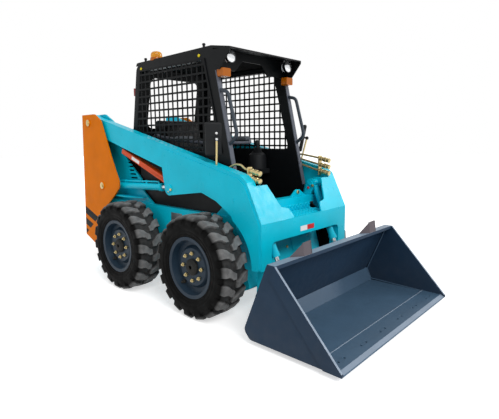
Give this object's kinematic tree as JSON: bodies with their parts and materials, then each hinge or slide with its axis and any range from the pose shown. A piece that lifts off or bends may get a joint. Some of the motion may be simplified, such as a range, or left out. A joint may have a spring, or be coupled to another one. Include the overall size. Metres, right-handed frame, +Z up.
{
  "type": "skid steer loader",
  "caption": "Compact wheeled skid steer loader with an open caged cab, rear-pivoted lift arms, hydraulic cylinders and a low-profile digging bucket on a quick coupler.",
  "frame": {"origin": "centre of the bounding box at ground level", "axes": "+X forward towards the bucket, +Y to the left of the machine, +Z up"},
  "size_m": [3.2479, 1.6, 2.0604],
  "materials": {
    "machine_blue": "gloss enamel",
    "tower_orange": "gloss enamel",
    "chassis_black": "satin enamel",
    "cab_black": "satin enamel",
    "screen_black": "satin enamel on wire mesh",
    "zinc_steel": "yellow zinc plate",
    "engine_iron": "cast and painted",
    "seat_vinyl": "black vinyl",
    "cab_plastic": "moulded plastic",
    "rail_grey": "grey enamel",
    "lamp_clear": "clear lens",
    "lamp_amber": "amber lens",
    "lamp_red": "red lens",
    "prop_red": "red-orange enamel",
    "rod_chrome": "hard chrome",
    "bucket_slate": "slate enamel",
    "step_grey": "worn enamel",
    "coupler_black": "satin enamel",
    "tyre_rubber": "black rubber",
    "rim_slate": "slate enamel"
  },
  "bodies": {
    "chassis": {"chassis_frame": "machine_blue", "axle_housings": "chassis_black", "tower_plates": "tower_orange", "inner_towers": "machine_blue", "tower_pins": "zinc_steel", "rear_bumper": "tower_orange", "engine_block": "engine_iron", "side_covers": "machine_blue", "cab_side_frames": "cab_black", "cab_front_posts": "rail_grey", "cab_screens": "screen_black", "cab_roof": "cab_black", "cab_rear_wall": "cab_black", "cab_floor": "cab_black", "seat": "seat_vinyl", "control_consoles": "cab_plastic", "handrails": "cab_black", "work_lamps": "lamp_clear", "turn_lamps": "lamp_amber", "beacon": "lamp_amber", "tail_lamps": "lamp_red"},
    "lift_arm": {"lift_arm": "machine_blue", "arm_step": "machine_blue", "mirrors": "cab_plastic", "aux_couplers": "zinc_steel"},
    "arm_prop": {"arm_prop": "prop_red"},
    "lift_barrels": {"lift_cylinder_barrels": "machine_blue"},
    "lift_rods": {"lift_cylinder_rods": "rod_chrome"},
    "tilt_barrels": {"tilt_cylinder_barrels": "machine_blue"},
    "tilt_rods": {"tilt_cylinder_rods": "rod_chrome"},
    "bucket": {"bucket_shell": "bucket_slate", "cutting_edge": "bucket_slate", "bucket_steps": "step_grey", "coupler_frame": "coupler_black"},
    "engine_hood": {"engine_hood": "machine_blue"},
    "rear_door": {"rear_door": "chassis_black"},
    "lap_bar": {"lap_bar": "rail_grey"},
    "wheel_front_right": {"tyre_front_right": "tyre_rubber", "rim_front_right": "rim_slate"},
    "wheel_front_left": {"tyre_front_left": "tyre_rubber", "rim_front_left": "rim_slate"},
    "wheel_rear_right": {"tyre_rear_right": "tyre_rubber", "rim_rear_right": "rim_slate"},
    "wheel_rear_left": {"tyre_rear_left": "tyre_rubber", "rim_rear_left": "rim_slate"}
  },
  "joints": [
    {"name": "wheel_spin_front_right", "type": "hinge", "parent": "chassis", "child": "wheel_front_right", "pos_m": [0.347, -0.67, 0.385], "axis": [0, 1, 0], "continuous": true},
    {"name": "wheel_spin_front_left", "type": "hinge", "parent": "chassis", "child": "wheel_front_left", "pos_m": [0.347, 0.67, 0.385], "axis": [0, 1, 0], "continuous": true},
    {"name": "wheel_spin_rear_right", "type": "hinge", "parent": "chassis", "child": "wheel_rear_right", "pos_m": [-0.631, -0.67, 0.385], "axis": [0, 1, 0], "continuous": true},
    {"name": "wheel_spin_rear_left", "type": "hinge", "parent": "chassis", "child": "wheel_rear_left", "pos_m": [-0.631, 0.67, 0.385], "axis": [0, 1, 0], "continuous": true},
    {"name": "arm_lift", "type": "hinge", "parent": "chassis", "child": "lift_arm", "pos_m": [-1.398, 0, 1.471], "axis": [0, -1, 0], "range_deg": [0, 62]},
    {"name": "lift_barrel_swing", "type": "hinge", "parent": "chassis", "child": "lift_barrels", "pos_m": [-1.187, 0, 0.863], "axis": [0, -1, 0], "range_deg": [0, 56.5]},
    {"name": "lift_rod_slide", "type": "slide", "parent": "lift_barrels", "child": "lift_rods", "axis": [0.999, 0, 0.0446], "range_m": [0, 0.6522]},
    {"name": "bucket_tilt", "type": "hinge", "parent": "lift_arm", "child": "bucket", "pos_m": [0.785, 0, 0.186], "axis": [0, 1, 0], "range_deg": [-22, 102]},
    {"name": "tilt_barrel_swing", "type": "hinge", "parent": "lift_arm", "child": "tilt_barrels", "pos_m": [0.633, 0, 0.93], "axis": [0, 1, 0], "range_deg": [-1.29, 5.25]},
    {"name": "tilt_rod_slide", "type": "slide", "parent": "tilt_barrels", "child": "tilt_rods", "axis": [0.3991, 0, -0.9169], "range_m": [-0.065, 0.2942]},
    {"name": "prop_swing", "type": "hinge", "parent": "lift_arm", "child": "arm_prop", "pos_m": [-0.214, -0.507, 0.956], "axis": [0, -1, 0], "range_deg": [0, 19]},
    {"name": "hood_lift", "type": "hinge", "parent": "chassis", "child": "engine_hood", "pos_m": [-0.857, 0, 1.405], "axis": [0, 1, 0], "range_deg": [0, 55]},
    {"name": "door_swing", "type": "hinge", "parent": "chassis", "child": "rear_door", "pos_m": [-1.584, 0.432, 0.8], "axis": [0, 0, -1], "range_deg": [0, 105]},
    {"name": "lap_bar_lift", "type": "hinge", "parent": "chassis", "child": "lap_bar", "pos_m": [-0.582, 0, 1.33], "axis": [0, -1, 0], "range_deg": [0, 70]}
  ],
  "couplings": [
    {"joint": "lift_barrel_swing", "follows": "arm_lift", "ratio": 0.90912},
    {"joint": "lift_rod_slide", "follows": "arm_lift", "m_per_rad": 0.60084},
    {"joint": "tilt_barrel_swing", "follows": "bucket_tilt", "ratio": 0.04953},
    {"joint": "tilt_rod_slide", "follows": "bucket_tilt", "m_per_rad": 0.16415}
  ]
}
